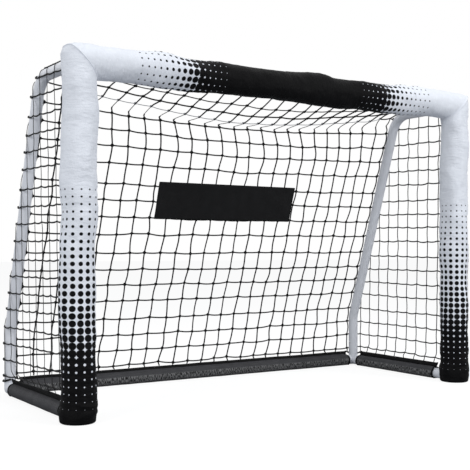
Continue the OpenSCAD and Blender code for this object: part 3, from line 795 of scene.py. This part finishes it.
# Rows of knots from the crossbar back and down: (y, z) in the middle, then beside the side tubes
ROOF_ROWS = [((-0.248, 1.162), (-0.248, 1.166)), ((-0.1775, 1.131), (-0.1775, 1.171)),
             ((-0.1095, 1.097), (-0.0955, 1.171)), ((-0.0455, 1.0745), (-0.0215, 1.163)),
             ((0.0175, 1.054), (0.0485, 1.143)), ((0.0915, 1.040), (0.0755, 1.077)),
             ((0.0755, 0.983), (0.0995, 1.013)), ((0.0725, 0.926), (0.1205, 0.952)),
             ((0.0985, 0.866), (0.1415, 0.887))]
RIDGE_ROW = 4
BACK_START = RIDGE_ROW + 1  # the first row that belongs to the back net
ROW_R = {1: 0.0018, 2: 0.0020}  # the two rows behind the crossbar are drawn tight, and thinner
# Where each column folds behind the ridge row: in the middle of the goal, and how much more at its sides
FOLD_R = (0.0012, 0.0011)  # the cord's radius from the ridge to the fold
FOLD_LIFT = (0.011, 0.024)  # the fold's height above the next knot
BACK_HEIGHTS = [0.805, 0.742, 0.677, 0.610, 0.536, 0.469, 0.409, 0.345, 0.271, 0.205, 0.141, 0.077]
BACK_DROP = 0.012  # how much lower the middle of a row hangs, at the top of these
EDGE_BOW = 0.006  # how far the outermost column bows out between its knots, behind the side tube
EDGE_SHARE = 0.9975  # its distance from the middle, as a share of whole meshes
ROOF_TURNS, BACK_TURNS = (-62, -35, -8), (-55, -28, -4)  # degrees at which a row's end goes round the tube
LACE_R, LACE_LIFT = 0.0014, 0.0016  # the light cord, and how far it lies above the ridge row


def net_rows():
    """All rows of the roof and back, as ROOF_ROWS has them."""
    rows = list(ROOF_ROWS)
    for z in BACK_HEIGHTS:
        drop = BACK_DROP * max(0.0, (z - 0.45) / 0.36) ** 2
        rows.append(((mid_back(z - drop), z - drop), (edge_back(z), z + drop / 2)))
    rows.append(((mid_back(NET_BOTTOM), NET_BOTTOM), (REAR_Y + FLAP_LEAN + 0.003, NET_BOTTOM)))
    return rows


def net_knots(rng):
    """Knots of the roof and back as an array (row, column, xyz), each a little out of line."""
    rows = net_rows()
    knots = np.zeros((len(rows), 2 * COLUMNS + 1, 3))
    for m, (mid, edge) in enumerate(rows):
        for n in range(-COLUMNS, COLUMNS + 1):
            t = abs(n) / COLUMNS
            y = mid[0] + (edge[0] - mid[0]) * t ** (1.6 if m <= RIDGE_ROW else 2.5)
            z = mid[1] + (edge[1] - mid[1]) * t ** 1.6
            knots[m, n + COLUMNS] = (n * MESH * (EDGE_SHARE if t == 1 else 1), y, z)
    jitter = rng.normal(0, 1, knots.shape) * JITTER
    jitter[0] *= 0.2
    jitter[-1] *= (1, 0.1, 0.1)
    jitter[:, 0, 0] = jitter[:, -1, 0] = 0
    return knots + np.clip(jitter, -MOST_JITTER, MOST_JITTER)


def hang(a, b, sag):
    """A cord that sags from a towards b, without b itself. The last coordinate is the height."""
    t = np.arange(STEPS)[:, None] / STEPS
    line = a + t * (b - a)
    line[:, -1] -= sag * 4 * t[:, 0] * (1 - t[:, 0])
    return line


def hung_row(knots, rng, sag=SAG, spread=(0.5, 1.5)):
    """A cord that sags between the knots, each time by another share of sag."""
    parts = [hang(a, b, sag * rng.uniform(*spread)) for a, b in zip(knots, knots[1:])]
    return np.concatenate([*parts, knots[-1:]])


def wavy(line, rng, size, direction=(1, 0, 0)):
    """A cord's line pushed a little to and fro between its knots."""
    pushes = np.zeros(len(line))
    for k in range(0, len(line) - 1, STEPS):
        t = np.arange(min(STEPS, len(line) - k)) / STEPS
        pushes[k:k + len(t)] = rng.normal(0, size) * np.sin(pi * t)
    return line + np.outer(pushes, direction)


def knot_template():
    """A small closed knot round the origin, in the plane of the net: three lobes, twice round."""
    t = np.linspace(0, 4 * pi, 22, endpoint=False)
    reach = 0.0034 + 0.0014 * np.cos(1.5 * t)
    return join(reach * np.cos(t), 0.0022 * np.sin(1.5 * t), reach * np.sin(t))


KNOT = knot_template()


def tie(net, place, across, down, rng, size=1.0):
    """A knot where two cords cross, turned with the net and a little at random."""
    across, down = unit(across), unit(down)
    through = unit(np.cross(down, across))
    spin = rng.uniform(-0.5, 0.5)
    x = across * cos(spin) + down * sin(spin)
    z = -across * sin(spin) + down * cos(spin)
    local = KNOT * size * rng.uniform(0.9, 1.15)
    net.add(place + local @ np.array([x, through, z]), KNOT_R * size, closed=True)


def wrap(side, knot, turns):
    """The end of a back or roof row: from its last knot over the side tube to the selvedge."""
    around = [on_tube(side, knot[1], knot[2], turn) for turn in np.radians(turns)]
    return np.array([*around, on_tube(side, knot[1], knot[2], SELVEDGE, CORD_R * 1.6)])


def add_column(roof, back, knots, n, rng):
    """One cord from the crossbar over the roof, folded behind the ridge row, and down the back."""
    aside = (abs(n - COLUMNS) / COLUMNS) ** 2
    fold = knots[BACK_START, n] + np.array([0, 0, FOLD_LIFT[0] + FOLD_LIFT[1] * aside])
    column = wavy(spline(np.insert(knots[:, n], BACK_START, fold, axis=0), STEPS), rng, WAVE)
    if aside == 1:
        bow = EDGE_BOW * np.clip((column[:, 2] - 0.1) / 0.15, 0, 1)
        bow = bow * abs(np.sin(pi * np.arange(len(column)) / STEPS))
        column[:, 0] += bow if n > COLUMNS else -bow
    at_ridge, at_fold, at_back = (k * STEPS for k in (RIDGE_ROW, BACK_START, BACK_START + 1))
    roof.add(column[:at_ridge + 1], CORD_R)
    roof.add(column[at_ridge:at_fold + 1], FOLD_R[0] + FOLD_R[1] * aside)
    roof.add(column[at_fold:at_back + 1], CORD_R)
    back.add(column[at_back:], CORD_R)


def back_and_roof():
    """The roof and back nets, one piece of netting, and the light cord between them."""
    rng = np.random.default_rng(5)
    knots = net_knots(rng)
    roof, back = Tubes(), Tubes()
    last_row, last = len(knots) - 1, 2 * COLUMNS
    for m, row in enumerate(knots):
        if m in (RIDGE_ROW, last_row):
            continue
        net, turns = (roof, ROOF_TURNS) if m < BACK_START else (back, BACK_TURNS)
        line = hung_row(row, rng, SAG if m else FIRST_SAG)
        line = np.concatenate([wrap(-1, row[0], turns)[::-1], line, wrap(1, row[-1], turns)])
        net.add(line, ROW_R.get(m, CORD_R))
    for n in range(last + 1):
        add_column(roof, back, knots, n, rng)
    for m in range(1, last_row):
        if m == RIDGE_ROW:
            continue
        for n in range(last + 1):
            across = knots[m, min(n + 1, last)] - knots[m, max(n - 1, 0)]
            down = knots[m - 1, n] - knots[m + 1, n]
            tie(roof if m < BACK_START else back, knots[m, n], across, down, rng)
    ridge = knots[RIDGE_ROW]
    for side, ends in ((-1, ridge[1::-1]), (1, ridge[-2:])):
        roof.add(np.concatenate([hung_row(ends, rng), wrap(side, ends[1], ROOF_TURNS)]), CORD_R)
    declare(roof.build("roof_net_cords", NET_CORD), "roof_net")
    declare(back.build("back_net_cords", NET_CORD), "back_net")
    lacing(ridge[1:-1] + np.array([0, 0, LACE_LIFT]), rng)


def lacing(knots, rng):
    """The light cord laced through the roof's last row of meshes."""
    cord = Tubes(sides=8)
    cord.add(hung_row(knots, rng), LACE_R, twist=0.006)
    for place in knots:
        tie(cord, place, np.array([1.0, 0, 0]), np.array([0, -0.5, 1.0]), rng, 0.8)
    declare(cord.build("ridge_lacing", LIGHT_CORD), "ridge_cord")


SIDE_HEIGHTS = [1.157, 1.095, 1.026, 0.963, 0.904, 0.843, 0.772, 0.710, 0.651, 0.589, 0.520, 0.459, 0.397,
                0.337, 0.268, 0.206, 0.147, 0.087]
SIDE_COUNT = 9  # columns that are tried in each side net; the ones that meet the tube are made
SIDE_TOP = 1.09
# The first column's y at SIDE_TOP, the pitch, and the drift forwards for each metre down
SIDE_COLUMNS = {-1: (-0.156, 0.0680, 0.060), 1: (-0.200, 0.0622, -0.018)}
SIDE_FRONT_Y = FRONT_Y + PAD_R + CORD_R
TUBE_FRONT_Y = REAR_Y - TUBE_R  # the front of the side tube's upright
HEM_CORD_Z = 0.0525  # where the net's hem cord goes round the rear corners
TUBE_GAP = 0.012  # nearer to the upright than this, a column ends at the hem cord
DRAWN_TOP, DRAWN_SPAN = 0.105, 0.03  # lower down, the others are drawn in to the sleeve, over this length
ROW_END = radians(57)  # where a side row's end is tied on the tube, from the tube's outermost line
SEAM = radians(10)  # where the cord along the tube runs that joins the nets
FRONT_TIE, END_TIE, COLUMN_TIE = 0.8, 0.75, 0.55  # sizes of the side nets' knots


def column_y(side, k, z):
    first, pitch, drift = SIDE_COLUMNS[side]
    return first + pitch * k - drift * (SIDE_TOP - z)


def side_row(side, height, y):
    """Height of a side row at y. The top rows rise to the rear, and on the left the low ones drop."""
    if side > 0:
        return height + 0.030 * (height / 1.05) ** 2 * y
    return height - 0.0085 * share_of(height - 0.2, 0.4) + (0.07 * height - 0.045) * y


def side_lift(side, y, z):
    """A side net's point over (y, z): over the tube's skin, or in front of it as far out, and low down there
    drawn in to the ground sleeve's hem."""
    _, _, away = station(y, z)
    reach = TUBE_R + CORD_R
    if away < 0:
        low = share_of(DRAWN_TOP - z, DRAWN_TOP - FLAP_TOP)
        low *= share_of(TUBE_FRONT_Y - TUBE_GAP - y, DRAWN_SPAN)
        out = reach - (reach - FLAP_LEAN - FLAP_ROOT) * low ** 2 * (3 - 2 * low)
    else:
        out = sqrt(max(reach ** 2 - away ** 2, 0))
    return np.array([side * (POST_X + out), y, z])


def rear_reach(z):
    """Where a side row at height z is tied to the tube, as y."""
    ys = np.linspace(SIDE_FRONT_Y, REAR_Y + TUBE_R, 400)
    return [y for y in ys if station(y, z)[2] < TUBE_R * cos(ROW_END)][-1]


def tied_end(side, y, z):
    """The end of a side row: from its knot on the tube round the back to the seam cord."""
    turns = [ROW_END - radians(14), radians(28), SEAM]
    drops = [0.003, 0.007, 0.010]
    return [on_tube(side, y, z - drop, turn, CORD_R * 1.4) for turn, drop in zip(turns, drops)]


def side_rows(net, side, rng):
    """The rows of a side net. Gives the places where columns cross them, by column and row."""
    crossing = {}
    for height in SIDE_HEIGHTS:
        end = rear_reach(side_row(side, height, rear_reach(height)))
        knots = [np.array([SIDE_FRONT_Y, side_row(side, height, SIDE_FRONT_Y)])]
        for k in range(SIDE_COUNT):
            if SIDE_FRONT_Y < column_y(side, k, height) < end - 0.006:
                y = column_y(side, k, height) + rng.normal(0, SIDE_JITTER)
                z = side_row(side, height, y) + rng.normal(0, SIDE_JITTER)
                crossing[(k, height)] = np.array([y, z])
                knots.append(crossing[(k, height)])
        knots.append(np.array([end, side_row(side, height, end)]))
        line = [side_lift(side, y, z) for y, z in hung_row(knots, rng, SIDE_SAG, (0.6, 1.3))]
        net.add(line + tied_end(side, *knots[-1]), CORD_R)
        tie(net, line[0], BACKWARDS, UPWARDS, rng, FRONT_TIE)
        tie(net, line[-1], BACKWARDS, UPWARDS, rng, END_TIE)
    return crossing


def side_columns(net, side, rng, crossing):
    """Its columns, from where each one comes off the tube down to the hem."""
    heights = np.linspace(BAR_Z + TUBE_R, NET_BOTTOM, 500)
    edge = TUBE_R * cos(SELVEDGE)
    for k in range(SIDE_COUNT):
        inside = [z for z in heights if station(column_y(side, k, z), z)[2] < edge]
        if not inside or inside[0] < 0.15:
            continue
        foot = NET_BOTTOM if column_y(side, k, NET_BOTTOM) < TUBE_FRONT_Y - TUBE_GAP else HEM_CORD_Z
        places = [crossing[(k, h)] for h in SIDE_HEIGHTS if (k, h) in crossing]
        places = [place for place in places if place[1] < inside[0]]
        top, bottom = (np.array([column_y(side, k, z), z]) for z in (inside[0], foot))
        line = wavy(spline([top, *places, bottom], STEPS), rng, SIDE_WAVE, (1, 0))
        net.add([side_lift(side, y, z) for y, z in line], SIDE_CORD_R[side])
        for place in places:
            tie(net, side_lift(side, *place), BACKWARDS, UPWARDS, rng, COLUMN_TIE)


def side_seam(net, side):
    """The cord along the tube's back that joins the side net to the roof and back nets."""
    front = int(np.argmax(AXIS[:, 0] > SIDE_FRONT_Y))
    last = int(np.argmax(AXIS[:, 1] < NET_BOTTOM)) or len(AXIS)
    net.add([on_tube(side, *place, SEAM, CORD_R * 1.3) for place in AXIS[front:last]], SEAM_CORD_R)


def corner_cord(net, side):
    """The hem cord, from the rear sleeve's flap round the rear corner to the side sleeve's."""
    reach = TUBE_R + HEM_CORD_R
    z = FLAP_TOP - 0.004
    knots = [[side * (POST_X - 0.034), REAR_Y + FLAP_LEAN, z]]
    for turn in np.radians([-8, 20, 50, 80, 100]):
        knots.append([side * (POST_X + reach * sin(turn)), REAR_Y + reach * cos(turn), HEM_CORD_Z])
    knots.append([side * (POST_X + FLAP_LEAN + 0.004), REAR_Y - 0.040, z])
    net.add(spline(knots, 6), HEM_CORD_R)


def side_net(side, seed):
    rng = np.random.default_rng(seed)
    net = Tubes()
    side_columns(net, side, rng, side_rows(net, side, rng))
    front = [side_lift(side, SIDE_FRONT_Y, z) for z in np.linspace(BAR_Z, NET_BOTTOM, 60)]
    net.add(front, SIDE_CORD_R[side] * 1.2)
    side_seam(net, side)
    corner_cord(net, side)
    name = SIDES[side]
    declare(net.build(f"{name}_side_net_cords", NET_CORD), f"{name}_side_net")


# ---- Banner ----

BANNER_T, BANNER_HEM_R = 0.0011, 0.0013
BANNER_GAP = 0.003  # from the net's cords to the panel


def banner():
    """The bare cloth panel on the inside of the back net, with its hem."""
    noise = Noise(31)
    low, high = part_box("banner")
    x = np.linspace(low.x, high.x, 120)
    grid, uv = [], []
    for z in np.linspace(low.z, high.z, 30):
        ease = 0.0016 * noise(x / 0.09, z / 0.12) + 0.0007 * noise(x / 0.03, z / 0.05, 4.0)
        grid.append(join(x, mid_back(z) - CORD_R - BANNER_GAP - abs(ease) * 1.4, z))
        uv.append(join(x, z))
    grid = np.array(grid)
    made = grid_object("net_banner", grid, np.array(uv), uv_name="cloth")
    made.data.materials.append(BANNER_CLOTH)
    thicken(made, BANNER_T, 0)
    declare(made, "banner")
    banner_hem(grid)


def banner_hem(grid):
    """The folded border, a fine roll that stands proud of the panel."""
    hem = Tubes(sides=8)
    border = np.concatenate([grid[0], grid[1:, -1], grid[-1, -2::-1], grid[-2:0:-1, 0]])
    hem.ring(border, BANNER_HEM_R)
    made = hem.build("banner_edge", HEM_CLOTH, "cloth")
    declare(made)
    return made


# ---- What the CAD nodes wear ----


def dress_nodes():
    """Materials for the CAD nodes that show as they are, by the ends of their names."""
    wear = {"_clips": SPRING_STEEL, "_button": BUTTON_STEEL, "_tube": POWDER_COAT, "_corner": POWDER_COAT}
    for name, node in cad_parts.items():
        for ending, material in wear.items():
            if name.endswith(ending):
                node.data.materials.clear()
                node.data.materials.append(material)


# ---- Stage ----

CAMERA_PLACE = (-1.98256, -2.99651, 0.55790)
CAMERA_ANGLES = (-32.7901, -0.7897, 0.1258)  # azimuth, elevation and roll, in degrees
CAMERA_LENS = 69.13
WORLD_COLOUR, WORLD_STRENGTH = (0.93, 0.96, 1.0, 1), 0.50
LIGHT_TARGET = (0, 0, 0.6)
WHITE = (1, 1, 1, 1)
FLOOR_GREY = (0.36, 0.37, 0.39)
FLOOR_GLOW, FLOOR_DIFFUSE = 0.86, 0.20
FLOOR_HALF = 30.0


def camera():
    azimuth, elevation, roll = (radians(a) for a in CAMERA_ANGLES)
    level = cos(elevation)
    back = np.array([sin(azimuth) * level, -cos(azimuth) * level, sin(elevation)])
    right = unit(np.cross(-back, [0, 0, 1]))
    up = np.cross(right, -back)
    right, up = right * cos(roll) + up * sin(roll), up * cos(roll) - right * sin(roll)
    data = bpy.data.cameras.new("camera")
    data.lens, data.sensor_width = CAMERA_LENS, 36
    data.clip_start, data.clip_end = 0.05, 60
    made = new_object("camera", data)
    axes = [[right[k], up[k], back[k], CAMERA_PLACE[k]] for k in range(3)]
    made.matrix_world = Matrix([*axes, [0, 0, 0, 1]])
    bpy.context.scene.camera = made


def softbox(name, place, size, power):
    """A round lamp that faces the middle of the goal."""
    data = bpy.data.lights.new(name, "AREA")
    data.shape, data.size, data.energy = "DISK", size, power
    made = new_object(name, data)
    made.location = place
    way = np.array(LIGHT_TARGET) - np.array(place)
    made.rotation_euler = (atan2(hypot(way[0], way[1]), -way[2]), 0, atan2(-way[0], way[1]))


def sky():
    """A dim bluish sky that looks white to the camera and in reflections."""
    world = bpy.data.worlds.new("studio")
    bpy.context.scene.world = world
    world.use_nodes = True
    w = Nodes(world.node_tree)
    dim = w.tree.nodes["Background"]
    w.feed(dim.inputs["Color"], WORLD_COLOUR)
    w.feed(dim.inputs["Strength"], WORLD_STRENGTH)
    pale = w.node("ShaderNodeBackground", {"Color": WHITE})
    ray = w.node("ShaderNodeLightPath").outputs
    seen = w.math("MAXIMUM", ray["Is Camera Ray"], ray["Is Glossy Ray"])
    mixed = w.node("ShaderNodeMixShader", {0: seen, 1: dim.outputs[0], 2: pale.outputs[0]})
    w.feed(w.tree.nodes["World Output"].inputs[0], mixed.outputs[0])


def floor():
    """A paper floor: white with soft shadows to the camera, and grey to all other rays."""
    h = FLOOR_HALF
    corners = [(-h, -h, 0), (h, -h, 0), (h, h, 0), (-h, h, 0)]
    made = mesh_object("floor", corners, [(0, 1, 2, 3)])
    s = Surface("floor_paper", FLOOR_GREY, 0.9, Specular_IOR_Level=0.0)
    ray = s.node("ShaderNodeLightPath").outputs
    glow = s.node("ShaderNodeEmission", {"Color": WHITE, "Strength": FLOOR_GLOW})
    dull = s.node("ShaderNodeBsdfDiffuse", {"Color": (FLOOR_DIFFUSE,) * 3 + (1,)})
    both = s.node("ShaderNodeAddShader", {0: glow.outputs[0], 1: dull.outputs[0]})
    inputs = {0: ray["Is Camera Ray"], 1: s.shader.outputs[0], 2: both.outputs[0]}
    chosen = s.node("ShaderNodeMixShader", inputs)
    s.feed(s.tree.nodes["Material Output"].inputs[0], chosen.outputs[0])
    made.data.materials.append(s.material)


camera()
sky()
floor()
softbox("top_light", (0.3, -0.6, 4.2), size=3.5, power=46)
softbox("key_light", (2.6, -5.0, 2.6), size=2.0, power=121)
softbox("fill_light", (-5.0, -2.4, 2.4), size=2.0, power=96)

post_sleeve(-1, seed=7, first_dot=-15.0, pitch=26.0, first_row=0.7393, row_step=0.0234)
post_sleeve(1, seed=8, first_dot=-9.7, pitch=24.8, first_row=0.7345, row_step=0.02303)
crossbar_sleeve()
foam_cores()
seam_piping()
tube_collars("roof_tube_collars", BAR_Z, PIPING, mitred=True)
tube_collars("ground_tube_collars", FLOOR_Z, HEM_CLOTH, mitred=False)
for side, name in SIDES.items():
    low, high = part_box(f"{name}_ground_sleeve")
    start, end = (side * POST_X, low.y, FLOOR_Z), (side * POST_X, high.y, FLOOR_Z)
    ground_sleeve(name, start, end, (side, 0, 0), 41 + side, SIDE_RISE[side])
    side_net(side, seed={-1: 22, 1: 21}[side])
low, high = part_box("rear_ground_sleeve")
start, end = (low.x - REAR_SPARE, REAR_Y, FLOOR_Z), (high.x + REAR_SPARE, REAR_Y, FLOOR_Z)
ground_sleeve("rear", start, end, (0, 1, 0), 44, REAR_RISE, HEM_IN)
back_and_roof()
banner()
dress_nodes()

bpy.context.scene.view_settings.view_transform = "Standard"
